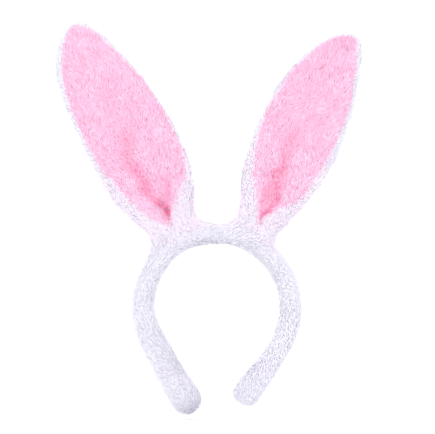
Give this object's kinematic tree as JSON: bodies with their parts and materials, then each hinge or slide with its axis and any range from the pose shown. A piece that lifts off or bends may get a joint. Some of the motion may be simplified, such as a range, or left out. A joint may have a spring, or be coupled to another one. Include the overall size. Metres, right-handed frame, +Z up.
{
  "type": "animal ears headband",
  "caption": "Padded plush hoop headband with a pair of tall, cupped rabbit ears, pink in front and white behind, and two arms that spring open.",
  "frame": {"origin": "centre of the arc that sits on the head", "axes": "+Z up as worn, between the ears; +X across the head, to the right in a view from the front; -Y is the front, where the pink linings face"},
  "size_m": [0.28, 0.03, 0.3608],
  "materials": {
    "white_plush": "short-pile plush",
    "pink_plush": "short-pile plush",
    "foam": "soft foam",
    "wadding": "polyester wadding",
    "plastic_strip": "satin",
    "steel_wire": "drawn",
    "white_thread": "polyester thread",
    "pink_thread": "polyester thread"
  },
  "bodies": {
    "crown": {"crown_sleeve": "white_plush", "left_ear_root": "white_plush", "right_ear_root": "white_plush", "crown_padding": "foam", "hoop_core_crown": "plastic_strip", "crown_seam": "white_thread", "left_root_stitches": "white_thread", "right_root_stitches": "white_thread"},
    "left_arm": {"left_arm_sleeve": "white_plush", "left_arm_padding": "foam", "hoop_core_left_arm": "plastic_strip", "left_arm_seam": "white_thread", "left_tip_stitches": "white_thread"},
    "left_ear": {"left_ear_back": "white_plush", "left_ear_lining": "pink_plush", "left_ear_wadding": "wadding", "left_ear_wire": "steel_wire", "left_ear_seam": "pink_thread", "left_ear_tack": "pink_thread"},
    "right_arm": {"right_arm_sleeve": "white_plush", "right_arm_padding": "foam", "hoop_core_right_arm": "plastic_strip", "right_arm_seam": "white_thread", "right_tip_stitches": "white_thread"},
    "right_ear": {"right_ear_back": "white_plush", "right_ear_lining": "pink_plush", "right_ear_wadding": "wadding", "right_ear_wire": "steel_wire", "right_ear_seam": "pink_thread", "right_ear_tack": "pink_thread"}
  },
  "joints": [
    {"name": "left_arm_flex", "type": "hinge", "parent": "crown", "child": "left_arm", "pos_m": [-0.05607, 0, 0.02981], "axis": [0, 1, 0], "range_deg": [0, 20], "stiffness_Nm_per_rad": 0.9},
    {"name": "right_arm_flex", "type": "hinge", "parent": "crown", "child": "right_arm", "pos_m": [0.05607, 0, 0.02981], "axis": [0, -1, 0], "range_deg": [0, 20], "stiffness_Nm_per_rad": 0.9},
    {"name": "left_ear_fold", "type": "hinge", "parent": "crown", "child": "left_ear", "pos_m": [-0.04196, 0, 0.07579], "axis": [0.9121, 0, 0.4099], "range_deg": [-60, 60]},
    {"name": "right_ear_fold", "type": "hinge", "parent": "crown", "child": "right_ear", "pos_m": [0.03951, 0, 0.07568], "axis": [0.9048, 0, -0.4258], "range_deg": [-60, 60]}
  ]
}
